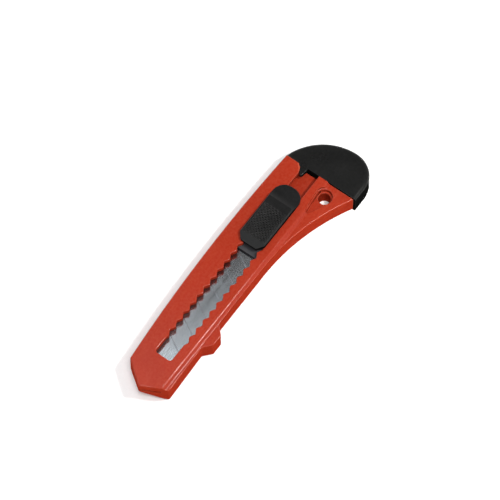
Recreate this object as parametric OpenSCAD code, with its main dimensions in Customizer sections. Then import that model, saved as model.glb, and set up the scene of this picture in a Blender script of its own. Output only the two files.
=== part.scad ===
// Snap-off utility knife with an 18 mm blade, moulded handle, thumb slider and pull-off end cap.
// X runs along the knife and points out of the nose, Y points to the cutting-edge side,
// Z points out of the slider face. The origin lies on the back face, on the slot's centre line.

/* [Handle] */
// Thickness of the handle from back face to plateau
handle_h = 11.3; // [10.5:0.1:13]
// Thickness of the flank beside the plateau, at the flare and the finger stop
flank_h = 10; // [9.8:0.1:10.2]
// Tip of the nose, in X and Y
nose_tip = [73, -0.2];
// Corner of the nose on the spine side
nose_spine = [64.5, -10.9];
// Corner of the nose on the cutting-edge side
nose_belly = [66.7, 11.6];
// X of the rear end, where the cap sits
rear_x = -54.4; // [-55:0.1:-54]
// Radius of the long curve of the spine
spine_r = 830; // [800:1:860]
// Top of that curve
spine_top = [-12, -14.6];
// X where the belly leaves its straight run and starts to flare
flare_x = -5; // [-7:0.5:-4]
// Distance of the belly from the centre line at that place, and just ahead of the finger stop
belly_y = 10.1; // [9.8:0.1:10.3]
belly_front_y = 10.8; // [10.5:0.1:11]
// Radius of the flare
flare_r = 104; // [98:1:108]
// Distance of the plateau's edge from the centre line, and width of its bevel
plateau_y = 8.9; // [8.6:0.1:9]
plateau_bevel = 1; // [0.8:0.1:1.1]
// Front and rear end of the finger stop, and its top
stop_front_x = 41.9; // [41:0.1:43]
stop_rear_x = 28.4; // [27:0.1:29]
stop_top_y = 14.3; // [13.5:0.1:14.5]
// Depth of the undercut below the tip of the nose
nose_undercut = 5.6; // [4:0.1:5.8]

/* [Slot and rack] */
// Front end of the slot
slot_front_x = 55.6; // [54.5:0.1:56]
// Half width of the slot where it has no teeth
slot_half_w = 4.2; // [4:0.05:4.5]
// Distance between two teeth
tooth_pitch = 5; // [5:0.1:5.2]
// Number of teeth on each edge
tooth_count = 15; // [10:1:15]
// Distance of the tooth tips and of the valleys from the centre line
tip_y = 3.7; // [3.6:0.05:3.8]
valley_y = 5.2; // [5:0.05:5.4]
// Length of a spine-side tooth's flank that faces the tail
long_flank = 2.6; // [2.4:0.1:2.8]
// How far the belly-side teeth lie ahead of the spine-side ones
belly_lead = 0.4; // [0.3:0.1:1]

/* [Blade] */
// Length, width and thickness
blade_l = 100; // [95:1:105]
blade_w = 18; // [17.5:0.1:18.2]
blade_t = 0.5; // [0.4:0.05:0.6]
// X of the blade's point, with the blade drawn back
blade_tip_x = 61.5; // [59:0.5:62]
// Distance of the blade's middle from the centre line
blade_y = -0.8; // [-0.9:0.05:-0.7]
// Distance between two score lines, and their number
segment = 10; // [9:0.5:11]
score_count = 7; // [5:1:7]
// Angle of the score lines to the cutting edge
score_angle = 60; // [55:1:65]
// Radius of the hole at the blade's rear end
blade_hole_r = 1.85; // [1.8:0.05:2.2]

/* [Slider] */
// Front end and length of the thumb button
button_front_x = -8.9; // [-9.5:0.1:-8.5]
button_l = 33.8; // [33:0.1:34]
// Width of the button, and of its front end
button_w = 13.3; // [12.8:0.1:13.5]
button_front_w = 8.2; // [7:0.1:9]
// Height of the button above the plateau
button_rise = 2.9; // [2.4:0.1:3.2]
// Front end and length of the blade carrier
carrier_front_x = -6.6; // [-7:0.1:-6]
carrier_l = 32.4; // [31:0.1:32.4]

/* [End cap] */
// Rearmost point of the cap
cap_rear_x = -73.4; // [-74:0.1:-73]
// Radius of the cap's outline on the spine side and on the belly side
cap_spine_r = 26; // [25.5:0.1:26.5]
cap_belly_r = 12.5; // [12:0.1:12.6]
// Distance of the belly arc's centre from the centre line
cap_y = 11.4; // [11.3:0.1:11.6]
// Length of the plug that goes into the handle
plug_l = 12; // [8:0.5:14]

/* [Lanyard hole] */
// Place and radius of the hole
hole_pos = [-48.2, 11.6];
hole_r = 2.8; // [2.4:0.1:2.9]
// Radius and depth of the drop-shaped pocket round it
pocket_r = 3.6; // [3.4:0.1:3.7]
pocket_depth = 2.2; // [1:0.1:3]
// Distance from the hole to the drop's point, and the direction of the point from +X
pocket_reach = 13.4; // [12:0.1:13.5]
pocket_turn = -10; // [-12:1:-8]

/* [Hidden] */
$fn = 96;
eps = 0.01;
far = 60;

// Layers inside the handle, counted from the back face.
back_wall = 1.7;
core_top = 4.9;
floor_z = 6.3;
roof_z = 9.1;
mouth_z0 = 6.4;
mouth_z1 = 7.6;
side_gap = 0.25;
channel_w = blade_w + 2 * side_gap;
core_w = channel_w - 3;
core_front_x = slot_front_x - 2;

// Blade and carrier lie on each other in the channel.
blade_z = 6.7;
carrier_z = blade_z + blade_t;
carrier_h = 1.65;
hole_back = 8;
grind_w = 2.5;
edge_t = 0.04;
score_w = 0.3;
score_depth = 0.12;
slant = blade_w / tan(score_angle);
blade_rear_x = blade_tip_x - blade_l;

// Neck of the slider, between the teeth.
neck_half_w = 3.1;
neck_front_x = -13;
neck_l = 24.5;
button_gap = 0.25;
button_z = handle_h + button_gap;
button_top = handle_h + button_rise;
button_y = -1.2;
peg_r = 1.5;
peg_x = [neck_front_x - 11, neck_front_x - 22];

// The spring's nose rests in the thirteenth valley.
first_valley_x = 43.5;
rest_valley_x = first_valley_x - 12 * tooth_pitch;
spring_t = 0.35;
spring_z = [9.4, 11];
leaf_y = -2.4;

cap_gap = 0.05;
cap_front_x = rear_x - cap_gap;
cap_belly_x = cap_rear_x + cap_belly_r;
cap_spine_x = cap_rear_x + cap_spine_r;
cap_bevel_w = 1.8;
cap_bevel_h = 1.3;
cap_back_bevel = 0.8;
plug_gap = 0.08;

// Outline of the handle seen from the front.
module handle_outline() {
    difference() {
        intersection() {
            translate([spine_top.x, spine_top.y + spine_r]) circle(r = spine_r, $fn = 720);
            polygon([nose_tip, nose_belly, [stop_front_x - 1, belly_front_y], [stop_rear_x + 1, belly_y],
                     [flare_x, belly_y], [flare_x, far], [rear_x, far], [rear_x, -far],
                     [nose_spine.x, -far], nose_spine]);
        }
        translate([flare_x, belly_y + flare_r]) circle(r = flare_r, $fn = 360);
    }
    finger_stop_outline();
}

// The bump that keeps a finger off the blade.
module finger_stop_outline() {
    root_y = 9;
    polygon([[stop_front_x, 11], [stop_front_x - 3.8, stop_top_y], [stop_rear_x + 4.1, stop_top_y],
             [stop_rear_x, 10.3], [stop_rear_x, root_y], [stop_front_x, root_y]]);
}

// The slot: straight at both ends, and toothed along both edges in between.
module slot_outline() {
    rack_front_x = first_valley_x + long_flank;
    rack_rear_x = rack_front_x - tooth_count * tooth_pitch;
    spine_edge = [for (i = [0 : tooth_count - 1])
        let (x = first_valley_x - i * tooth_pitch)
            each [[x + long_flank, -tip_y], [x, -valley_y]]];
    belly_edge = [for (i = [tooth_count - 1 : -1 : 0])
        let (x = first_valley_x + belly_lead - i * tooth_pitch)
            each [[x - tooth_pitch / 2, tip_y], [x, valley_y]]];
    polygon(concat(
        [[slot_front_x, slot_half_w], [slot_front_x, -slot_half_w], [rack_front_x, -slot_half_w]],
        spine_edge,
        [[rack_rear_x, -tip_y], [rack_rear_x, -slot_half_w], [rear_x - 1, -slot_half_w],
         [rear_x - 1, slot_half_w], [rack_rear_x, slot_half_w]],
        belly_edge,
        [[rack_front_x, slot_half_w]]));
}

// A drop: a circle with its tangents drawn out to a point at the distance reach along +X.
module drop_outline(r, reach) {
    touch = acos(r / reach);
    circle(r = r);
    polygon([[reach, 0], r * [cos(touch), sin(touch)], [0, 0], r * [cos(touch), -sin(touch)]]);
}

// Plateau, bevel and flank, as a cross-section drawn along X.
module handle_section() {
    rotate([90, 0, 90]) translate([0, 0, -2 * far]) linear_extrude(4 * far)
        polygon([[-far, 0], [far, 0], [far, flank_h], [plateau_y + plateau_bevel, flank_h],
                 [plateau_y, handle_h], [-far, handle_h]]);
}

// Wedge taken off the back of the nose, hinged on the line between its two corners.
module nose_wedge() {
    corner_flat = 0.4;
    hinge = nose_belly - nose_spine;
    hinge_angle = atan2(hinge.y, hinge.x);
    reach = (nose_tip.x - nose_spine.x) * sin(hinge_angle)
          - (nose_tip.y - nose_spine.y) * cos(hinge_angle);
    translate([nose_spine.x + corner_flat, nose_spine.y, 0]) rotate([0, 0, hinge_angle - 90])
        translate([0, far, 0]) rotate([90, 0, 0]) linear_extrude(2 * far)
            polygon([[0, 0], [0, -1], [2 * reach, -1], [2 * reach, 2 * nose_undercut]]);
}

module handle() {
    channel_y = blade_y - channel_w / 2;
    core_y = blade_y - core_w / 2;
    color("orangered") difference() {
        intersection() {
            linear_extrude(handle_h) handle_outline();
            handle_section();
        }
        nose_wedge();
        // slot through the face
        translate([0, 0, roof_z - eps]) linear_extrude(handle_h) slot_outline();
        // blade channel, and its narrow mouth through the nose
        translate([rear_x - 1, channel_y, floor_z])
            cube([slot_front_x - rear_x + 1, channel_w, roof_z - floor_z]);
        translate([slot_front_x - 1, channel_y, mouth_z0])
            cube([nose_tip.x - slot_front_x + 2, channel_w, mouth_z1 - mouth_z0]);
        // core hole below the channel, where the cap's plug goes in
        translate([rear_x - 1, core_y, back_wall])
            cube([core_front_x - rear_x + 1, core_w, core_top - back_wall]);
        // corner of the spine rail, cleared for the cap's tongue
        translate([0, 0, roof_z - eps]) linear_extrude(handle_h)
            polygon([[rear_x - 1, -7.3], [rear_x + 0.4, -7.1], [rear_x + 1.8, -5.6],
                     [rear_x + 3.6, -slot_half_w + 0.1], [rear_x + 3.6, 0], [rear_x - 1, 0]]);
        // lanyard hole and its pocket
        translate([hole_pos.x, hole_pos.y, -1]) cylinder(r = hole_r, h = handle_h + 2);
        translate([hole_pos.x, hole_pos.y, flank_h - pocket_depth]) linear_extrude(handle_h)
            rotate(pocket_turn) drop_outline(pocket_r, pocket_reach);
    }
}

// One layer of the cap's rounded outline, drawn in at the bottom and at the top.
module cap_layer(z, h, inset_0, inset_1) {
    intersection() {
        translate([cap_spine_x, cap_y, z])
            cylinder(r1 = cap_spine_r - inset_0, r2 = cap_spine_r - inset_1, h = h, $fn = 240);
        translate([cap_rear_x - 1, cap_y - far, z - 1]) cube([cap_front_x - cap_rear_x + 1, far, h + 2]);
    }
    translate([cap_belly_x, cap_y, z])
        cylinder(r1 = cap_belly_r - inset_0, r2 = cap_belly_r - inset_1, h = h, $fn = 240);
    translate([cap_belly_x, cap_y, z]) rotate([90, 0, 90]) linear_extrude(cap_front_x - cap_belly_x)
        polygon([[0, 0], [cap_belly_r - inset_0, 0], [cap_belly_r - inset_1, h], [0, h]]);
}

module end_cap() {
    core_y = blade_y - core_w / 2;
    tongue_z = roof_z + 0.1;
    color("#242423") {
        intersection() {
            union() {
                cap_layer(0, cap_back_bevel, cap_back_bevel, 0);
                cap_layer(cap_back_bevel, handle_h - cap_bevel_h - cap_back_bevel, 0, 0);
                cap_layer(handle_h - cap_bevel_h, cap_bevel_h, 0, cap_bevel_w);
            }
            translate([cap_rear_x - 1, -far, -1]) cube([cap_front_x - cap_rear_x + 1, 2 * far, far]);
        }
        // plug in the core hole
        translate([cap_front_x - 1, core_y + plug_gap, back_wall + plug_gap])
            cube([plug_l + 1, core_w - 2 * plug_gap, core_top - back_wall - 2 * plug_gap]);
        // pointed tongue that closes the slot's corner
        translate([0, 0, tongue_z]) linear_extrude(handle_h - tongue_z)
            polygon([[cap_front_x - 1, -6.6], [cap_front_x + 0.4, -6.4], [cap_front_x + 1.6, -5.1],
                     [cap_front_x + 4.5, -3.2], [cap_front_x + 4.3, -2.3], [cap_front_x + 1, -1.8],
                     [cap_front_x - 1, -1.8]]);
    }
}

// The whole snap-off blade: one strip, ground along one edge and scored across one face.
module blade() {
    half_w = blade_w / 2;
    color("lightsteelblue") translate([0, blade_y, blade_z]) difference() {
        intersection() {
            translate([blade_rear_x, 0, 0]) rotate([90, 0, 90]) linear_extrude(blade_l + 1)
                polygon([[-half_w, 0], [half_w - grind_w, 0], [half_w, (blade_t - edge_t) / 2],
                         [half_w, (blade_t + edge_t) / 2], [half_w - grind_w, blade_t], [-half_w, blade_t]]);
            translate([0, 0, -1]) linear_extrude(3)
                polygon([[blade_tip_x, half_w], [blade_tip_x - slant, -half_w], [blade_rear_x, -half_w],
                         [blade_rear_x, half_w - 4], [blade_rear_x + 4, half_w]]);
        }
        for (i = [1 : score_count])
            translate([blade_tip_x - i * segment, half_w, blade_t - score_depth])
                rotate([0, 0, score_angle]) translate([-2 * blade_w, -score_w / 2, 0])
                    cube([4 * blade_w, score_w, 1]);
        translate([blade_rear_x + hole_back, 0, -1]) cylinder(r = blade_hole_r, h = 3);
    }
}

// Plate that rides in the channel on top of the blade and holds it by a peg.
module blade_carrier() {
    carrier_w = blade_w - 0.1;
    nose_w = 12;
    nose_l = 4;
    hook_drop = 0.3;
    socket_floor = 0.4;
    socket_gap = 0.05;
    rear_x0 = carrier_front_x - carrier_l;
    color("#26262a") difference() {
        union() {
            translate([0, blade_y, carrier_z]) linear_extrude(carrier_h)
                polygon([[carrier_front_x, -nose_w / 2], [carrier_front_x, nose_w / 2],
                         [carrier_front_x - nose_l, carrier_w / 2], [rear_x0, carrier_w / 2],
                         [rear_x0, -carrier_w / 2], [carrier_front_x - nose_l, -carrier_w / 2]]);
            translate([blade_rear_x + hole_back, blade_y, blade_z - hook_drop])
                cylinder(r = blade_hole_r - 0.1, h = blade_t + hook_drop + 1);
        }
        for (x = peg_x)
            translate([x, 0, carrier_z + socket_floor]) cylinder(r = peg_r + socket_gap, h = 3);
    }
}

// Thumb button seen from the front.
module button_outline() {
    rear_r = 6;
    rear_x0 = button_front_x - button_l;
    half_w = button_w / 2;
    half_front = button_front_w / 2;
    cut = 3;
    translate([0, button_y]) {
        polygon([[button_front_x, -half_front], [button_front_x, half_front], [button_front_x - cut, half_w],
                 [rear_x0 + rear_r, half_w], [rear_x0 + rear_r, -half_w], [button_front_x - cut, -half_w]]);
        translate([rear_x0, -half_w + rear_r]) square([rear_r + 1, 2 * (half_w - rear_r)]);
        for (side = [-1, 1])
            translate([rear_x0 + rear_r, side * (half_w - rear_r)]) circle(r = rear_r);
    }
}

// Button above the slot, neck through it, and two pegs down into the carrier.
module thumb_slider() {
    front_drop = 1.2;
    rear_drop = 1.8;
    rear_x0 = button_front_x - button_l;
    neck_z = carrier_z + carrier_h;
    pocket_l = 16.5;
    slit_l = 5;
    color("#262526") difference() {
        union() {
            intersection() {
                translate([0, 0, button_z]) linear_extrude(button_rise) button_outline();
                translate([0, far, 0]) rotate([90, 0, 0]) linear_extrude(2 * far)
                    polygon([[rear_x0, 0], [button_front_x, 0], [button_front_x, button_top - front_drop],
                             [button_front_x - 3, button_top], [rear_x0 + 13, button_top],
                             [rear_x0 + 3, button_top - rear_drop + 0.4], [rear_x0, button_top - rear_drop]]);
            }
            translate([neck_front_x - neck_l, -neck_half_w, neck_z])
                cube([neck_l, 2 * neck_half_w, button_z - neck_z + 0.5]);
            for (x = peg_x)
                translate([x, 0, carrier_z + 0.5]) cylinder(r = peg_r, h = 3);
        }
        // pocket for the detent spring, and the slit that grips its end
        translate([neck_front_x - pocket_l, -neck_half_w - 1, spring_z[0] - 0.2])
            cube([pocket_l + 1, 2.6, spring_z[1] - spring_z[0] + 0.4]);
        translate([neck_front_x - pocket_l - slit_l, leaf_y, spring_z[0]])
            cube([slit_l + 1, spring_t, spring_z[1] - spring_z[0]]);
    }
}

// Flat steel leaf whose bent nose clicks into the spine-side teeth.
module detent_spring() {
    nose_y = 0.25 - valley_y;
    bend = [[neck_front_x - 21, leaf_y], [rest_valley_x - 3.2, leaf_y], [rest_valley_x - 1.5, leaf_y - 0.9],
            [rest_valley_x, nose_y], [rest_valley_x + 2.2, leaf_y - 0.8], [rest_valley_x + 3.4, leaf_y - 0.2]];
    last = len(bend) - 1;
    color("silver") translate([0, 0, spring_z[0]]) linear_extrude(spring_z[1] - spring_z[0])
        polygon(concat(bend, [for (i = [last : -1 : 0]) bend[i] + [0, spring_t]]));
}

handle();
end_cap();
blade();
blade_carrier();
thumb_slider();
detent_spring();
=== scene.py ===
import math

import bmesh
import bpy
from mathutils import Matrix, Vector


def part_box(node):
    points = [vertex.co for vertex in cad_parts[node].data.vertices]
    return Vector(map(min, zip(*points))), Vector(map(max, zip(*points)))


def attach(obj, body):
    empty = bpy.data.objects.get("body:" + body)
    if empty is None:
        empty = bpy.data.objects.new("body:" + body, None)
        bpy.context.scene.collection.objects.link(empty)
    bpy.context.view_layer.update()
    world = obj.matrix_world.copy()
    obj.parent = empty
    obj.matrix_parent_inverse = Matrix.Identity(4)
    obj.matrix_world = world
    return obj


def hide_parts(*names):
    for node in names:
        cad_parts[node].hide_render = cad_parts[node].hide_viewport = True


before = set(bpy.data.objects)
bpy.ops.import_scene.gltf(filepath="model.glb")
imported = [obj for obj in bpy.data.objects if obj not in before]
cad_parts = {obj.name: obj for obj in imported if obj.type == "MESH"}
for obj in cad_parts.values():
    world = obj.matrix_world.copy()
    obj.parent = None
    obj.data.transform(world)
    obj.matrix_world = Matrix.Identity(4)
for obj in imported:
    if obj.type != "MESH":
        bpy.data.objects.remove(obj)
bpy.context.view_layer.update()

# Lengths below are in millimetres unless a name ends in _m; meshes are made in metres.
MM = 0.001


def box_mm(node):
    """Lowest and highest corner of a CAD node, in millimetres."""
    low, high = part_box(node)
    return low / MM, high / MM


HANDLE_LOW, HANDLE_HIGH = box_mm("handle")
CAP_LOW, CAP_HIGH = box_mm("end_cap")
BLADE_LOW, BLADE_HIGH = box_mm("blade")
CARRIER_LOW, CARRIER_HIGH = box_mm("blade_carrier")
BUTTON_LOW, BUTTON_HIGH = box_mm("thumb_slider")
SPRING_LOW, SPRING_HIGH = box_mm("detent_spring")

# Handle: heights of plateau and flank, and the lines of the outline.
PLATEAU_Z = HANDLE_HIGH.z
FLANK_DROP = 1.3
FLANK_Z = PLATEAU_Z - FLANK_DROP
PLATEAU_Y = 8.9
BEVEL_W = 1.0
NOSE_X = HANDLE_HIGH.x
REAR_X = HANDLE_LOW.x
SPINE_Y = HANDLE_LOW.y
SPINE_R = 830
SPINE_TOP_X = -12
FLARE_X = -5
FLARE_R = 104
BELLY_Y = 10.1
NOSE_TIP = (NOSE_X, -0.2)
NOSE_SPINE = (NOSE_X - 8.5, -11.05)
NOSE_BELLY = (NOSE_X - 6.3, 11.6)
NOSE_UNDERCUT = 5.6
CORNER_FLAT = 0.4
BACK_EDGE_R, FLANK_EDGE_R, PLATEAU_EDGE_R = 0.9, 0.4, 0.7
# Finger stop, from the nose end: (x, y, radius) of each corner.
STOP_TOP_Y = 14.3
STOP_CORNERS = [(41.9, 10.85, 1.6), (38.1, STOP_TOP_Y, 1.1), (32.5, STOP_TOP_Y, 1.1), (28.3, 10.15, 2.0)]

# Slot and rack.
SLOT_FRONT_X = NOSE_X - 17.4
SLOT_HALF_W = 4.2
TOOTH_PITCH = 5
TOOTH_COUNT = 15
TIP_Y = 3.7
VALLEY_Y = 5.2
FIRST_VALLEY_X = NOSE_X - 29.5
LONG_FLANK = 2.6
BELLY_LEAD = 0.4
RIM_R = 0.6

# Layers inside the handle.
BACK_WALL = 1.7
CORE_TOP = 4.9
FLOOR_Z = 6.3
ROOF_Z = 9.1
MOUTH_Z = (6.5, 7.4)
CHANNEL_Y = (BLADE_LOW.y - 0.25, BLADE_HIGH.y + 0.25)
CORE_Y = (CHANNEL_Y[0] + 1.5, CHANNEL_Y[1] - 1.5)

HOLE = (REAR_X + 6.2, 11.6)
HOLE_R = 2.8
POCKET_R = 3.6
POCKET_REACH = 13.4
POCKET_TURN = -10
POCKET_DEPTH = 2.2
POCKET_Z = FLANK_Z - POCKET_DEPTH


# ---------------------------------------------------------------- outlines


def arc(cx, cy, r, start, end, steps):
    """Points along a circle from one angle to another, in degrees."""
    turns = [math.radians(start + (end - start) * i / steps) for i in range(steps + 1)]
    return [(cx + r * math.cos(t), cy + r * math.sin(t)) for t in turns]


def circle(cx, cy, r, count):
    """A full turn of evenly spaced points."""
    return arc(cx, cy, r, 0, 360 - 360 / count, count - 1)


def rounded(corners, steps=6):
    """A closed outline from corners (x, y, radius), each rounded by its own radius."""
    points = []
    for i, (x, y, r) in enumerate(corners):
        here = Vector((x, y))
        if r <= 0:
            points.append((x, y))
            continue
        before = Vector(corners[i - 1][:2]) - here
        after = Vector(corners[(i + 1) % len(corners)][:2]) - here
        before.normalize()
        after.normalize()
        half = math.acos(max(-1, min(1, before.dot(after)))) / 2
        centre = here + (before + after).normalized() * (r / math.sin(half))
        first = here + before * (r / math.tan(half)) - centre
        last = here + after * (r / math.tan(half)) - centre
        start = math.atan2(first.y, first.x)
        sweep = (math.atan2(last.y, last.x) - start + math.pi) % (2 * math.pi) - math.pi
        for k in range(steps + 1):
            turn = start + sweep * k / steps
            points.append((centre.x + r * math.cos(turn), centre.y + r * math.sin(turn)))
    return points


def inset(points, d):
    """A counter-clockwise outline moved inwards by d, or outwards where d is negative."""
    moved = []
    for i, p in enumerate(points):
        here = Vector(p)
        came = (here - Vector(points[i - 1])).normalized()
        goes = (Vector(points[(i + 1) % len(points)]) - here).normalized()
        n0, n1 = Vector((-came.y, came.x)), Vector((-goes.y, goes.x))
        moved.append(here + (n0 + n1) * (d / max(0.3, 1 + n0.dot(n1))))
    return [(p.x, p.y) for p in moved]


def quarter(steps=4):
    """Sine and cosine steps of a quarter turn, for rounding an edge."""
    turns = [math.pi / 2 * k / steps for k in range(steps + 1)]
    return [(math.sin(t), math.cos(t)) for t in turns]


# ---------------------------------------------------------------- solids


def mesh_object(name, bm):
    """An object from a bmesh in millimetres, with its normals turned outwards."""
    bmesh.ops.recalc_face_normals(bm, faces=bm.faces)
    bmesh.ops.scale(bm, vec=(MM, MM, MM), verts=bm.verts)
    mesh = bpy.data.meshes.new(name)
    bm.to_mesh(mesh)
    bm.free()
    piece = bpy.data.objects.new(name, mesh)
    bpy.context.scene.collection.objects.link(piece)
    return piece


def stack(name, rings):
    """A closed solid through rings of equal length, each a list of (x, y, z), lowest first."""
    bm = bmesh.new()
    loops = [[bm.verts.new(p) for p in ring] for ring in rings]
    count = len(loops[0])
    for low, high in zip(loops, loops[1:]):
        for i in range(count):
            j = (i + 1) % count
            bm.faces.new((low[i], low[j], high[j], high[i]))
    bm.faces.new(reversed(loops[0]))
    bm.faces.new(loops[-1])
    return mesh_object(name, bm)


def at_z(points, z):
    return [(x, y, z) for x, y in points]


def rounded_plate(name, points, z0, z1, r0, r1):
    """A plate with this outline, its lower edge rounded by r0 and its upper edge by r1."""
    rings = [at_z(inset(points, r0 * (1 - s)), z0 + r0 * (1 - c)) for s, c in quarter()]
    rings += [at_z(inset(points, r1 * (1 - c)), z1 - r1 * (1 - s)) for s, c in quarter()]
    return stack(name, rings)


def flared_cutter(name, points, z0, z1, r, depth=None):
    """A cutter for a hole up through a face at z1, which leaves the hole's rim rounded by r.
    A depth smaller than r makes the rim flatter than round."""
    depth = depth or r
    rings = [at_z(points, z0)]
    rings += [at_z(inset(points, -r * (1 - c)), z1 - depth * (1 - s)) for s, c in quarter(6)]
    rings.append(at_z(inset(points, -r), z1 + 2))
    return stack(name, rings)


def prism(name, points, length, matrix):
    """The outline drawn along its own Z for a length, then placed by the matrix."""
    rings = [[tuple(matrix @ Vector((x, y, z))) for x, y in points] for z in (0, length)]
    return stack(name, rings)


def cuboid(name, low, high):
    """A block between two corners, used as a cutter or a plain core of a larger piece."""
    corners = [(low[0], low[1]), (high[0], low[1]), (high[0], high[1]), (low[0], high[1])]
    return stack(name, [at_z(corners, low[2]), at_z(corners, high[2])])


# Turns an outline in (Y, Z) into one that is drawn along X.
ALONG_X = Matrix(((0, 0, 1, 0), (1, 0, 0, 0), (0, 1, 0, 0), (0, 0, 0, 1)))


def combine(piece, tool, operation):
    """Joins, cuts or intersects piece with tool, and removes the tool."""
    step = piece.modifiers.new("step", "BOOLEAN")
    step.operation, step.object, step.solver = operation, tool, "EXACT"
    evaluated = piece.evaluated_get(bpy.context.evaluated_depsgraph_get())
    mesh = bpy.data.meshes.new_from_object(evaluated)
    piece.modifiers.clear()
    old, piece.data = piece.data, mesh
    bpy.data.meshes.remove(old)
    mesh.name = piece.name
    bpy.data.objects.remove(tool)


def close_slits(bm):
    """Joins the open edges that a cut leaves where a vertex lies in the middle of a longer edge."""
    near = 0.003 * MM
    open_edges = [edge for edge in bm.edges if edge.is_boundary]
    open_verts = {vert for edge in open_edges for vert in edge.verts}
    joined = {}
    for edge in open_edges:
        start, end = edge.verts
        along = end.co - start.co
        for vert in open_verts - {start, end}:
            share = (vert.co - start.co).dot(along) / along.length_squared
            if 0 < share < 1 and (start.co + along * share - vert.co).length < near:
                _, middle = bmesh.utils.edge_split(edge, start, share)
                joined[middle] = vert
                break
    bmesh.ops.weld_verts(bm, targetmap=joined)


def smooth(piece, angle=32):
    """Clean shading: flat faces stay flat, and edges sharper than the angle stay crisp."""
    bm = bmesh.new()
    bm.from_mesh(piece.data)
    bmesh.ops.remove_doubles(bm, verts=bm.verts, dist=0.002 * MM)
    bmesh.ops.dissolve_degenerate(bm, edges=bm.edges, dist=0.002 * MM)
    close_slits(bm)
    bm.to_mesh(piece.data)
    bm.free()
    for face in piece.data.polygons:
        face.use_smooth = True
    piece.data.set_sharp_from_angle(angle=math.radians(angle))
    normals = piece.modifiers.new("even_normals", "WEIGHTED_NORMAL")
    normals.keep_sharp = True
    normals.weight = 80


def finish_piece(piece, body, node, look):
    """Gives a piece its material and its body, and hides the CAD node it stands for."""
    piece.data.materials.clear()
    piece.data.materials.append(look)
    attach(piece, body)
    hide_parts(node)


# ---------------------------------------------------------------- handle


def handle_outline():
    """The handle from the front, running a little past its rear end, where it is cut off later."""
    past = REAR_X - 4
    flare_end = math.degrees(math.acos((past - FLARE_X) / FLARE_R))
    flare = arc(FLARE_X, BELLY_Y + FLARE_R, FLARE_R, -90, -flare_end, 40)
    first = -math.degrees(math.acos((past - SPINE_TOP_X) / SPINE_R))
    last = -math.degrees(math.acos((NOSE_SPINE[0] - 3 - SPINE_TOP_X) / SPINE_R))
    spine = arc(SPINE_TOP_X, SPINE_Y + SPINE_R, SPINE_R, first, last, 60)
    corners = [(*NOSE_TIP, 1.2), (*NOSE_BELLY, 1.0), *STOP_CORNERS]
    corners += [(x, y, 0) for x, y in flare]
    corners += [(x, y, 0) for x, y in spine]
    corners += [(*NOSE_SPINE, 1.2)]
    return rounded(corners)


def plateau_section():
    """Cross-section of the plateau with its rounded crest, as (y, z), down into the flank."""
    slope = math.atan2(PLATEAU_Z - FLANK_Z, BEVEL_W)
    turn = math.degrees(slope)
    crest_r = 1.7
    foot_r = 1.4
    crest_y = PLATEAU_Y - crest_r * math.tan(slope / 2)
    foot_y = PLATEAU_Y + BEVEL_W + foot_r * math.tan(slope / 2)
    crest = arc(crest_y, PLATEAU_Z - crest_r, crest_r, 90 - turn, 90, 6)
    # the hollow foot dips just under the flank, so that the two surfaces cross cleanly
    foot = arc(foot_y, FLANK_Z + foot_r - 0.02, foot_r, -90, -90 - turn, 6)
    below = FLANK_Z - 1.2
    return [(-30, below), (foot_y, below), *foot, *crest, (-30, PLATEAU_Z)]


def slot_outline():
    """The slot, with a rounded rack along both edges."""
    rack_front = FIRST_VALLEY_X + LONG_FLANK
    rack_rear = rack_front - TOOTH_COUNT * TOOTH_PITCH
    valleys = [FIRST_VALLEY_X - i * TOOTH_PITCH for i in range(TOOTH_COUNT)]
    tip_r, valley_r, front_r = 0.75, 0.4, 1.2
    corners = [(SLOT_FRONT_X, SLOT_HALF_W, front_r), (rack_front, SLOT_HALF_W, tip_r)]
    for x in valleys:
        corners += [(x + BELLY_LEAD, VALLEY_Y, valley_r), (x + BELLY_LEAD - TOOTH_PITCH / 2, TIP_Y, tip_r)]
    corners += [(rack_rear - 0.8, SLOT_HALF_W, valley_r), (REAR_X - 3, SLOT_HALF_W, 0),
                (REAR_X - 3, -SLOT_HALF_W, 0), (rack_rear - 0.8, -SLOT_HALF_W, valley_r)]
    for x in reversed(valleys):
        corners += [(x + LONG_FLANK - TOOTH_PITCH, -TIP_Y, tip_r), (x, -VALLEY_Y, valley_r)]
    corners += [(rack_front, -TIP_Y, tip_r), (rack_front + 1.2, -SLOT_HALF_W, valley_r),
                (SLOT_FRONT_X, -SLOT_HALF_W, front_r)]
    return rounded(corners, 4)


def pocket_outline():
    """The drop-shaped pocket round the lanyard hole."""
    touch = math.degrees(math.acos(POCKET_R / POCKET_REACH))
    points = arc(0, 0, POCKET_R, touch, 360 - touch, 40)
    tip_steps = 6
    tip = rounded([(POCKET_REACH - 0.6, 0, 0.7), (*points[0], 0), (*points[-1], 0)], tip_steps)
    turn = Matrix.Rotation(math.radians(POCKET_TURN), 2)
    drop = [turn @ Vector(p) for p in points + tip[:tip_steps + 1]]
    return [(p.x + HOLE[0], p.y + HOLE[1]) for p in drop]


def nose_wedge():
    """Wedge that undercuts the nose from the back, hinged between its two corners."""
    spine, belly, tip = Vector(NOSE_SPINE), Vector(NOSE_BELLY), Vector(NOSE_TIP)
    along = (belly - spine).normalized()
    forward = Vector((along.y, -along.x))
    reach = (tip - spine).dot(forward)
    profile = [(0, 0), (0, -1), (2 * reach, -1), (2 * reach, 2 * NOSE_UNDERCUT)]
    place = Matrix((
        (forward.x, 0, -along.x, spine.x + CORNER_FLAT + 40 * along.x),
        (forward.y, 0, -along.y, spine.y + 40 * along.y),
        (0, 1, 0, 0),
        (0, 0, 0, 1),
    ))
    return prism("wedge", profile, 80, place)


def rail_corner():
    """Corner of the spine rail beside the cap, cleared for the cap's tongue."""
    corners = [(-3, -7.6, 0), (0.4, -7.2, 0.8), (1.8, -5.6, 1.4), (3.8, -SLOT_HALF_W + 0.15, 1.2)]
    corners += [(3.8, 0, 0), (-3, 0, 0)]
    return rounded([(REAR_X + x, y, r) for x, y, r in reversed(corners)])


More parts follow.
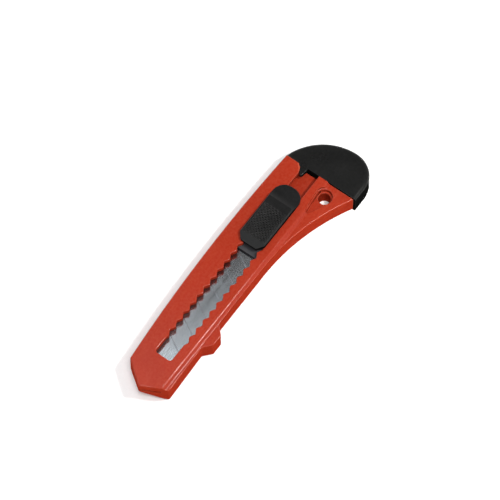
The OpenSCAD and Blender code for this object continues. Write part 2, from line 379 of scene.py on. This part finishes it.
def build_handle(look):
    outline = handle_outline()
    piece = rounded_plate("handle_moulding", outline, 0, FLANK_Z, BACK_EDGE_R, FLANK_EDGE_R)
    plateau = rounded_plate("plateau", outline, FLANK_Z - 1.1, PLATEAU_Z, 0, PLATEAU_EDGE_R)
    section = prism("section", plateau_section(), 160, Matrix.Translation((-80, 0, 0)) @ ALONG_X)
    combine(plateau, section, "INTERSECT")
    combine(piece, plateau, "UNION")
    combine(piece, nose_wedge(), "DIFFERENCE")
    past_rear = REAR_X - 6
    tools = [
        cuboid("channel", (past_rear, CHANNEL_Y[0], FLOOR_Z), (SLOT_FRONT_X, CHANNEL_Y[1], ROOF_Z)),
        cuboid("mouth", (SLOT_FRONT_X - 1, CHANNEL_Y[0], MOUTH_Z[0]),
               (NOSE_X + 2, CHANNEL_Y[1], MOUTH_Z[1])),
        cuboid("core", (past_rear, CORE_Y[0], BACK_WALL), (SLOT_FRONT_X - 2, CORE_Y[1], CORE_TOP)),
        flared_cutter("slot", slot_outline(), ROOF_Z - 0.8, PLATEAU_Z, RIM_R, 0.32),
        flared_cutter("corner", rail_corner(), ROOF_Z - 0.6, PLATEAU_Z, RIM_R - 0.05, 0.27),
        flared_cutter("pocket", pocket_outline(), POCKET_Z, FLANK_Z, 0.5),
        flared_cutter("hole", circle(*HOLE, HOLE_R, 48), -1, POCKET_Z, 0.2),
        cuboid("rear", (REAR_X - 20, -40, -5), (REAR_X, 60, 30)),
    ]
    for tool in tools:
        combine(piece, tool, "DIFFERENCE")
    smooth(piece)
    finish_piece(piece, "handle", "handle", look)


# ---------------------------------------------------------------- end cap

CAP_SPINE_R = 26
CAP_BELLY_R = 12.5
CAP_Y = 11.4
CAP_RIM_W, CAP_RIM_H = 1.8, 1.3
PLUG_L = 12


def cap_outline(d):
    """The cap's lopsided dome, drawn in by d, with its flat front run a little into the handle."""
    spine_r, belly_r = CAP_SPINE_R - d, CAP_BELLY_R - d
    spine_x, belly_x = CAP_LOW.x + CAP_SPINE_R, CAP_LOW.x + CAP_BELLY_R
    front = REAR_X + 2
    start = 180 + math.degrees(math.acos((spine_x - front) / spine_r))
    dome = arc(spine_x, CAP_Y, spine_r, start, 180, 36)
    corner = arc(belly_x, CAP_Y, belly_r, 180, 90, 24)[1:]
    return list(reversed(dome + corner + [(front, CAP_Y + belly_r)]))


def build_cap(look):
    top = CAP_HIGH.z
    rings = [at_z(cap_outline(1.0 * (1 - s)), 1.0 * (1 - c)) for s, c in quarter(5)]
    rings += [at_z(cap_outline(CAP_RIM_W * (1 - c)), top - CAP_RIM_H * (1 - s)) for s, c in quarter(6)]
    piece = stack("cap_shell", rings)
    front = REAR_X - 0.06
    combine(piece, cuboid("front", (front, -60, -5), (front + 20, 60, 30)), "DIFFERENCE")
    plug = rounded([(front - 1.5, CORE_Y[0] + 0.1, 0), (front + PLUG_L, CORE_Y[0] + 0.1, 1.2),
                    (front + PLUG_L, CORE_Y[1] - 0.1, 1.2), (front - 1.5, CORE_Y[1] - 0.1, 0)])
    combine(piece, rounded_plate("plug", plug, BACK_WALL + 0.1, CORE_TOP - 0.1, 0.35, 0.35), "UNION")
    tongue = [(-1.5, -6.6, 0), (0.4, -6.4, 0.5), (1.6, -5.1, 0.8), (4.5, -3.2, 0.3), (4.3, -2.3, 0.3),
              (1, -1.8, 0.6), (-1.5, -1.8, 0)]
    tongue = rounded([(front + x, y, r) for x, y, r in tongue])
    combine(piece, rounded_plate("tongue", tongue, ROOF_Z + 0.1, top - 0.1, 0.1, 0.3), "UNION")
    smooth(piece)
    finish_piece(piece, "cap", "end_cap", look)


# ---------------------------------------------------------------- blade

SEGMENT = 10
SCORE_COUNT = 7
SCORE_ANGLE = 60
SCORE_W = 0.45
SCORE_DEPTH = 0.16
GRIND_W = 2.5
EDGE_T = 0.04
BLADE_HOLE_R = 1.85
BLADE_HOLE_BACK = 8


def build_blade(look):
    """One strip lofted through slanted stations, so that each score is a real groove."""
    back_y, edge_y = BLADE_LOW.y, BLADE_HIGH.y
    slant = (edge_y - back_y) / math.tan(math.radians(SCORE_ANGLE))
    thick = BLADE_HIGH.z - BLADE_LOW.z
    mid = thick / 2
    half_edge = EDGE_T / 2
    grind = GRIND_W / (edge_y - back_y)
    # (share of the way from back to edge, height below, height above)
    section = [(0, 0.05, thick - 0.05), (0.004, 0, thick), (1 - grind, 0, thick),
               (1 - grind * 0.55, mid * 0.5, thick - mid * 0.5), (1, mid - half_edge, mid + half_edge)]
    stations = [(0.0, 1.0, 0.0)]
    for i in range(1, SCORE_COUNT + 1):
        for shift, depth in ((-SCORE_W / 2, 0), (-0.05, 1), (0.05, 1), (SCORE_W / 2, 0)):
            stations.append((-(i * SEGMENT + shift), 1.0, depth * SCORE_DEPTH))
    stations.append((BLADE_LOW.x - BLADE_HIGH.x + 0.01, 0.0, 0.0))
    bm = bmesh.new()
    rows = []
    for shift, lean, depth in stations:
        row = []
        for side in (0, 1):
            for share, low, high in section if side else reversed(section):
                x = BLADE_HIGH.x + shift - lean * slant * (1 - share)
                y = back_y + (edge_y - back_y) * share
                z = max(high - depth, mid + half_edge) if side else low
                row.append(bm.verts.new((x, y, BLADE_LOW.z + z)))
        rows.append(row)
    count = len(rows[0])
    for a, b in zip(rows, rows[1:]):
        for i in range(count):
            j = (i + 1) % count
            bm.faces.new((a[i], a[j], b[j], b[i]))
    bm.faces.new(rows[0])
    bm.faces.new(reversed(rows[-1]))
    piece = mesh_object("snap_off_blade", bm)
    hole_x = BLADE_LOW.x + BLADE_HOLE_BACK
    hole = circle(hole_x, (back_y + edge_y) / 2, BLADE_HOLE_R, 36)
    combine(piece, stack("hole", [at_z(hole, BLADE_LOW.z - 1), at_z(hole, BLADE_HIGH.z + 1)]), "DIFFERENCE")
    corner = [(BLADE_LOW.x - 1, edge_y - 5), (BLADE_LOW.x + 5, edge_y + 1), (BLADE_LOW.x - 1, edge_y + 1)]
    combine(piece, stack("corner", [at_z(corner, BLADE_LOW.z - 1), at_z(corner, BLADE_HIGH.z + 1)]),
            "DIFFERENCE")
    smooth(piece, angle=12)
    finish_piece(piece, "slider", "blade", look)


# ---------------------------------------------------------------- carrier, slider and spring

NECK_HALF_W = 3.1
NECK_FRONT_X = -13
NECK_L = 24.5
BUTTON_Z = PLATEAU_Z + 0.25
KNURL_PITCH, KNURL_DEPTH, KNURL_CELL = 1.25, 0.38, 0.125


def build_carrier(look):
    front, rear = CARRIER_HIGH.x, CARRIER_LOW.x
    mid = (CARRIER_LOW.y + CARRIER_HIGH.y) / 2
    half = (CARRIER_HIGH.y - CARRIER_LOW.y) / 2
    outline = rounded([(front, mid - 6, 0.8), (front, mid + 6, 0.8), (front - 4, mid + half, 1.0),
                       (rear, mid + half, 0.8), (rear, mid - half, 0.8), (front - 4, mid - half, 1.0)])
    z0 = BLADE_HIGH.z + 0.01
    piece = rounded_plate("carrier_plate", outline, z0, CARRIER_HIGH.z, 0.1, 0.3)
    hole_x = BLADE_LOW.x + BLADE_HOLE_BACK
    blade_mid = (BLADE_LOW.y + BLADE_HIGH.y) / 2
    peg = circle(hole_x, blade_mid, BLADE_HOLE_R - 0.1, 36)
    combine(piece, rounded_plate("peg", peg, CARRIER_LOW.z, z0 + 0.8, 0.2, 0), "UNION")
    smooth(piece)
    finish_piece(piece, "slider", "blade_carrier", look)


def knurl_height(x, y):
    """Height of a diamond knurl: two sets of grooves that cross at right angles."""
    height = 1.0
    for along in ((x + y) / math.sqrt(2), (x - y) / math.sqrt(2)):
        off = abs((along / KNURL_PITCH) % 1 - 0.5) * 2
        height = min(height, min(1.0, (1 - off) / 0.62))
    return KNURL_DEPTH * height


def knurl_pad(x0, x1, y0, y1, z, base):
    """A closed pad whose top carries the knurl; its border stays level with the grooves' floor."""
    nx, ny = round((x1 - x0) / KNURL_CELL), round((y1 - y0) / KNURL_CELL)
    bm = bmesh.new()
    top = []
    for i in range(nx + 1):
        column = []
        for j in range(ny + 1):
            x, y = x0 + (x1 - x0) * i / nx, y0 + (y1 - y0) * j / ny
            rim = min(i, nx - i, j, ny - j) * KNURL_CELL
            lift = knurl_height(x, y) * min(1.0, rim / 0.3)
            column.append(bm.verts.new((x, y, z + lift)))
        top.append(column)
    for i in range(nx):
        for j in range(ny):
            bm.faces.new((top[i][j], top[i + 1][j], top[i + 1][j + 1], top[i][j + 1]))
    rim = [top[i][0] for i in range(nx + 1)] + [top[nx][j] for j in range(1, ny + 1)]
    rim += [top[i][ny] for i in range(nx - 1, -1, -1)] + [top[0][j] for j in range(ny - 1, 0, -1)]
    floor = [bm.verts.new((v.co.x, v.co.y, base)) for v in rim]
    for i in range(len(rim)):
        j = (i + 1) % len(rim)
        bm.faces.new((floor[i], floor[j], rim[j], rim[i]))
    bm.faces.new(reversed(floor))
    return mesh_object("pad", bm)


def build_slider(look):
    """Thumb button with a rounded rim, a knurled pad and a scooped rear, on its neck."""
    front, rear, top = BUTTON_HIGH.x, BUTTON_LOW.x, BUTTON_HIGH.z
    mid = (BUTTON_LOW.y + BUTTON_HIGH.y) / 2
    half, half_front, cut = (BUTTON_HIGH.y - BUTTON_LOW.y) / 2, 4.1, 3.0
    outline = rounded([(front, mid - half_front, 1.0), (front, mid + half_front, 1.0),
                       (front - cut, mid + half, 1.6), (rear, mid + half, 5.8),
                       (rear, mid - half, 5.8), (front - cut, mid - half, 1.6)], 8)
    body_top = top - KNURL_DEPTH
    piece = rounded_plate("thumb_button", outline, BUTTON_Z, body_top, 0.15, 0.8)
    pad_rear = rear + 13
    scoop = [(-60, body_top + 3), (-60, BUTTON_Z + 0.9)]
    scoop += arc(rear + 4.5, BUTTON_Z + 0.9 + 9, 9, -90, -52, 8)
    scoop.append((pad_rear + 1, body_top + 3))
    along_y = Matrix(((1, 0, 0, 0), (0, 0, -1, 30), (0, 1, 0, 0), (0, 0, 0, 1)))
    combine(piece, prism("scoop", scoop, 60, along_y), "DIFFERENCE")
    ramp = [(front + 2, BUTTON_Z + 0.7), (front + 2, top + 3), (front - 4, top + 3), (front - 4, body_top)]
    combine(piece, prism("ramp", ramp, 60, along_y), "DIFFERENCE")
    border = 0.9
    pad = knurl_pad(pad_rear + 0.2, front - 3.6, mid - half + border, mid + half - border,
                    body_top - 0.02, body_top - 0.6)
    combine(piece, pad, "UNION")
    neck_z = CARRIER_HIGH.z + 0.01
    neck = rounded([(NECK_FRONT_X - NECK_L, -NECK_HALF_W, 0.5), (NECK_FRONT_X, -NECK_HALF_W, 0.5),
                    (NECK_FRONT_X, NECK_HALF_W, 0.5), (NECK_FRONT_X - NECK_L, NECK_HALF_W, 0.5)])
    combine(piece, rounded_plate("neck", neck, neck_z, BUTTON_Z + 0.5, 0.1, 0), "UNION")
    pocket_low = (NECK_FRONT_X - 16.5, -NECK_HALF_W - 1, SPRING_LOW.z - 0.2)
    pocket_high = (NECK_FRONT_X + 1, -NECK_HALF_W + 1.6, SPRING_HIGH.z + 0.2)
    combine(piece, cuboid("spring_pocket", pocket_low, pocket_high), "DIFFERENCE")
    smooth(piece, angle=28)
    finish_piece(piece, "slider", "thumb_slider", look)


def build_spring(look):
    """Leaf of flat steel with round bends, swept at its own thickness."""
    leaf_y, thick = -2.4, 0.35
    rest_x = FIRST_VALLEY_X - 12 * TOOTH_PITCH
    bend = [(SPRING_LOW.x, leaf_y), (rest_x - 3.2, leaf_y), (rest_x - 1.5, leaf_y - 0.9),
            (rest_x, SPRING_LOW.y), (rest_x + 2.2, leaf_y - 0.8), (SPRING_HIGH.x, leaf_y - 0.2)]
    upper = [(x, y + thick) for x, y in reversed(bend)]
    radii = [0, 0.8, 0.3, 0.5, 1.0, 0]
    corners = [(*p, r) for p, r in zip(bend, radii)] + [(*p, r) for p, r in zip(upper, reversed(radii))]
    piece = rounded_plate("leaf_spring", rounded(corners), SPRING_LOW.z, SPRING_HIGH.z, 0.04, 0.04)
    smooth(piece)
    finish_piece(piece, "slider", "detent_spring", look)


# ---------------------------------------------------------------- materials


class Nodes:
    """A new material's node tree, with short calls to add and join nodes."""

    def __init__(self, name):
        self.material = bpy.data.materials.new(name)
        self.material.use_nodes = True
        self.tree = self.material.node_tree
        self.shader = self.tree.nodes["Principled BSDF"]
        coordinates = self.tree.nodes.new("ShaderNodeTexCoord")
        self.place = coordinates.outputs["Object"]

    def put(self, socket, value):
        if isinstance(value, bpy.types.NodeSocket):
            self.tree.links.new(value, socket)
        else:
            socket.default_value = value

    def add(self, kind, inputs=None, **settings):
        node = self.tree.nodes.new(kind)
        for key, value in settings.items():
            setattr(node, key, value)
        for key, value in (inputs or {}).items():
            self.put(node.inputs[key], value)
        return node

    def shade(self, **inputs):
        for key, value in inputs.items():
            self.put(self.shader.inputs[key.replace("_", " ")], value)

    def stretched(self, x, y, z):
        """Object coordinates multiplied along each axis."""
        node = self.add("ShaderNodeMapping", {"Vector": self.place, "Scale": (x, y, z)})
        return node.outputs["Vector"]

    def noise(self, scale, detail=4.0, rough=0.55, vector=None):
        node = self.add("ShaderNodeTexNoise", {"Vector": vector or self.place, "Scale": scale,
                                               "Detail": detail, "Roughness": rough})
        return node.outputs["Fac"]

    def spread(self, value, from_low, from_high, to_low, to_high):
        """The value carried from one range to another, and kept inside it."""
        node = self.add("ShaderNodeMapRange", {"Value": value, "From Min": from_low, "From Max": from_high,
                                               "To Min": to_low, "To Max": to_high})
        return node.outputs["Result"]

    def blend(self, share, first, second):
        """Two colours mixed by share."""
        node = self.add("ShaderNodeMix", data_type="RGBA")
        self.put(node.inputs["Factor"], share)
        self.put(node.inputs["A"], first)
        self.put(node.inputs["B"], second)
        return node.outputs["Result"]

    def math(self, operation, a, b):
        node = self.add("ShaderNodeMath", {0: a, 1: b}, operation=operation)
        return node.outputs["Value"]

    def edges(self, radius_m):
        """1 along convex and concave edges, 0 on flat faces."""
        bevel = self.add("ShaderNodeBevel", {"Radius": radius_m}, samples=4)
        geometry = self.add("ShaderNodeNewGeometry")
        dot = self.add("ShaderNodeVectorMath", {0: bevel.outputs["Normal"], 1: geometry.outputs["Normal"]},
                       operation="DOT_PRODUCT")
        return self.spread(dot.outputs["Value"], 0.9, 1.0, 1.0, 0.0)

    def facing_up(self, low, high):
        """1 on surfaces that face up, 0 on upright walls."""
        geometry = self.add("ShaderNodeNewGeometry")
        axes = self.add("ShaderNodeSeparateXYZ", {"Vector": geometry.outputs["Normal"]})
        return self.spread(axes.outputs["Z"], low, high, 0.0, 1.0)

    def bump(self, height, distance_m, strength=1.0, below=None):
        node = self.add("ShaderNodeBump", {"Height": height, "Distance": distance_m, "Strength": strength})
        if below is not None:
            self.put(node.inputs["Normal"], below)
        return node.outputs["Normal"]


def moulded_plastic(name, colour, shade, wear_and_glint, rough, gloss, grain):
    """Injection-moulded plastic: cloudy pigment, fine grain, faint flow waves, scuffs, and edges lightened
    partly as rubbed wear and partly as a painted highlight.
    The face is polished, and the side walls are matt."""
    n = Nodes(name)
    cloud = n.spread(n.noise(45.0, 5.0), 0.35, 0.68, 0.0, 1.0)
    speck = n.spread(n.noise(900.0, 2.0), 0.30, 0.75, 0.0, 1.0)
    tone = n.blend(cloud, shade, colour)
    tone = n.blend(n.math("MULTIPLY", speck, 0.10), tone, wear_and_glint)
    scuff = n.spread(n.noise(14.0, 6.0, 0.7, n.stretched(1.2, 16.0, 16.0)), 0.60, 0.76, 0.0, 1.0)
    tone = n.blend(n.math("MULTIPLY", scuff, 0.16), tone, wear_and_glint)
    # edges are lightened toward the wear colour: partly rubbed wear, partly a painted highlight for the
    # glints along edges and tooth tips
    patch = n.spread(n.noise(120.0, 3.0), 0.42, 0.62, 0.15, 0.75)
    edge_wear_and_glint = n.math("MULTIPLY", n.edges(0.00045), patch)
    tone = n.blend(n.math("MULTIPLY", edge_wear_and_glint, 0.7), tone, wear_and_glint)
    smudge = n.spread(n.noise(75.0, 4.0, 0.6), 0.3, 0.7, rough - 0.04, rough + 0.07)
    finish = n.math("ADD", smudge, n.math("MULTIPLY", scuff, 0.16))
    facing = n.facing_up(0.25, 0.6)
    finish = n.math("ADD", finish, n.math("MULTIPLY", n.math("SUBTRACT", 1.0, facing), 0.25))
    polish = n.math("MULTIPLY", facing, gloss)
    wave = n.bump(n.noise(28.0, 1.5), 0.00022, 0.6)
    fine = n.bump(n.noise(grain, 3.0), 0.00004, 0.55, wave)
    # the socket keeps the face's own level wherever the link below is not carried over
    n.shade(Specular_IOR_Level=gloss)
    n.shade(Base_Color=tone, Roughness=finish, Normal=fine, IOR=1.49, Specular_IOR_Level=polish)
    return n.material


def ground_steel(name, colour, dark, rough, lines):
    """Ground carbon steel: fine grinding lines and an oily tint in patches."""
    n = Nodes(name)
    hair = n.noise(420.0, 4.0, 0.6, n.stretched(*lines))
    broad = n.noise(38.0, 3.0, 0.5)
    tone = n.blend(n.spread(hair, 0.3, 0.7, 0.0, 0.6), colour, dark)
    tone = n.blend(n.spread(broad, 0.45, 0.75, 0.0, 0.22), tone, dark)
    finish = n.math("ADD", n.spread(hair, 0.25, 0.75, rough - 0.07, rough + 0.08),
                    n.spread(broad, 0.4, 0.8, 0.0, 0.06))
    scratched = n.bump(hair, 0.000005, 0.3)
    n.shade(Base_Color=tone, Roughness=finish, Normal=scratched, Metallic=1.0)
    n.shade(Anisotropic=0.35)
    return n.material


def floor_paper(name):
    """Plain pale studio paper."""
    n = Nodes(name)
    fibre = n.noise(700.0, 3.0)
    tone = n.blend(n.spread(fibre, 0.3, 0.7, 0.0, 1.0), (0.93, 0.93, 0.93, 1), (0.96, 0.96, 0.96, 1))
    n.shade(Base_Color=tone, Roughness=0.9, Normal=n.bump(fibre, 0.00002, 0.3))
    return n.material


# each plastic's third colour is its wear tone, which also paints the highlight along its edges
LOOKS = {
    "handle": moulded_plastic("orange_plastic", (0.288, 0.0215, 0.0076, 1), (0.258, 0.0180, 0.0060, 1),
                              (0.56, 0.14, 0.080, 1), 0.18, 0.22, 2600.0),
    "cap": moulded_plastic("black_cap_plastic", (0.0042, 0.0042, 0.0040, 1), (0.0030, 0.0030, 0.0029, 1),
                           (0.040, 0.040, 0.039, 1), 0.30, 0.27, 2200.0),
    "slider": moulded_plastic("black_slider_plastic", (0.0040, 0.0040, 0.0040, 1),
                              (0.0028, 0.0028, 0.0028, 1), (0.035, 0.034, 0.034, 1), 0.36, 0.22, 3000.0),
    "carrier": moulded_plastic("carrier_black_plastic", (0.030, 0.030, 0.036, 1), (0.022, 0.022, 0.026, 1),
                               (0.08, 0.08, 0.08, 1), 0.5, 0.4, 2400.0),
    "blade": ground_steel("blade_steel_finish", (0.56, 0.57, 0.59, 1), (0.36, 0.36, 0.37, 1), 0.17,
                          (0.6, 14.0, 6.0)),
    "spring": ground_steel("spring_steel_finish", (0.58, 0.57, 0.55, 1), (0.34, 0.33, 0.32, 1), 0.28,
                           (1.0, 10.0, 10.0)),
}

build_handle(LOOKS["handle"])
build_cap(LOOKS["cap"])
build_blade(LOOKS["blade"])
build_carrier(LOOKS["carrier"])
build_slider(LOOKS["slider"])
build_spring(LOOKS["spring"])


# ---------------------------------------------------------------- stage, light and camera


def add_floor():
    bm = bmesh.new()
    half = 1500
    for x, y in ((-half, -half), (half, -half), (half, half), (-half, half)):
        bm.verts.new((x, y, -0.02))
    bm.faces.new(bm.verts)
    floor = mesh_object("studio_floor", bm)
    floor.data.materials.append(floor_paper("studio_paper"))


def add_softbox(name, towards, distance_m, size_m, power, aim, colour):
    """A square softbox in a direction from the aimed point."""
    data = bpy.data.lights.new(name, "AREA")
    data.shape, data.size, data.energy = "SQUARE", size_m, power
    data.color = colour
    light = bpy.data.objects.new(name, data)
    direction = Vector(towards).normalized()
    light.location = Vector(aim) + direction * distance_m
    light.rotation_mode = "QUATERNION"
    light.rotation_quaternion = (-direction).to_track_quat("-Z", "Y")
    bpy.context.scene.collection.objects.link(light)


def add_sky(overhead, horizon):
    """A studio tent: walls bright at the height of the object, and dimmer overhead."""
    world = bpy.data.worlds.new("studio_world")
    world.use_nodes = True
    nodes, links = world.node_tree.nodes, world.node_tree.links
    place = nodes.new("ShaderNodeTexCoord")
    axes = nodes.new("ShaderNodeSeparateXYZ")
    height = nodes.new("ShaderNodeMapRange")
    height.interpolation_type = "SMOOTHSTEP"
    for key, value in (("From Min", 0.25), ("From Max", 0.85), ("To Min", horizon), ("To Max", overhead)):
        height.inputs[key].default_value = value
    links.new(place.outputs["Generated"], axes.inputs["Vector"])
    links.new(axes.outputs["Z"], height.inputs["Value"])
    background = nodes["Background"]
    background.inputs["Color"].default_value = (1.0, 1.0, 1.0, 1)
    links.new(height.outputs["Result"], background.inputs["Strength"])
    bpy.context.scene.world = world


def add_camera():
    """A long lens from above the nose end, so that the knife is seen almost without perspective."""
    azimuth, elevation = math.radians(125.96), math.radians(64.75)
    back = Vector((math.sin(azimuth) * math.cos(elevation), -math.cos(azimuth) * math.cos(elevation),
                   math.sin(elevation)))
    aim = Vector((-7.59, 0.72, PLATEAU_Z)) * MM
    width_m = 0.2181
    data = bpy.data.cameras.new("camera")
    data.lens, data.sensor_width = 400.0, 36.0
    data.clip_start, data.clip_end = 0.01, 20.0
    camera = bpy.data.objects.new("camera", data)
    camera.location = aim + back * (width_m * data.lens / data.sensor_width)
    camera.rotation_mode = "QUATERNION"
    camera.rotation_quaternion = (-back).to_track_quat("-Z", "Y")
    bpy.context.scene.collection.objects.link(camera)
    bpy.context.scene.camera = camera


add_floor()
add_sky(0.15, 1.05)
add_softbox("blade_softbox", (-0.345, -0.25, 0.904), 0.60, 0.20, 0.26, (0.192, 0, 0.007), (0.86, 0.95, 1.0))
add_softbox("key_softbox", (-0.33, 0.40, 0.85), 0.34, 0.040, 0.85, (0.052, 0.008, 0.011), (1.0, 0.98, 0.95))
add_softbox("main_softbox", (0.22, 0.20, 0.93), 2.80, 1.30, 45.0, (0, 0, 0), (1.0, 1.0, 1.0))
add_camera()
bpy.context.scene.view_settings.view_transform = "Standard"
